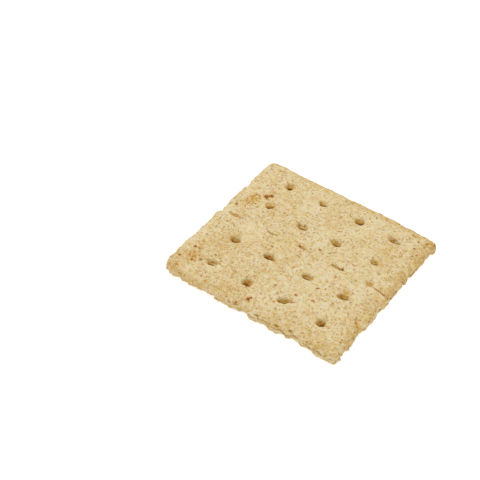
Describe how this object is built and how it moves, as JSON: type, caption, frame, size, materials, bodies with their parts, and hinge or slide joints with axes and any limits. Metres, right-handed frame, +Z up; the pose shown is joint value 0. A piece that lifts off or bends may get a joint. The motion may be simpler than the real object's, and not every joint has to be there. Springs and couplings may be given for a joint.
{
  "type": "graham cracker",
  "caption": "Flat square graham cracker with a pillowed pricked top, a scored middle line, ragged cut edges and a flat underside.",
  "frame": {"origin": "middle of the flat underside", "axes": "+Z up out of the pricked top face, +X along the scored line towards its long slit, +Y towards the back edge"},
  "size_m": [0.0634, 0.0632, 0.0042],
  "materials": {
    "crust": null
  },
  "bodies": {
    "root": {"cracker": "crust"}
  },
  "joints": []
}
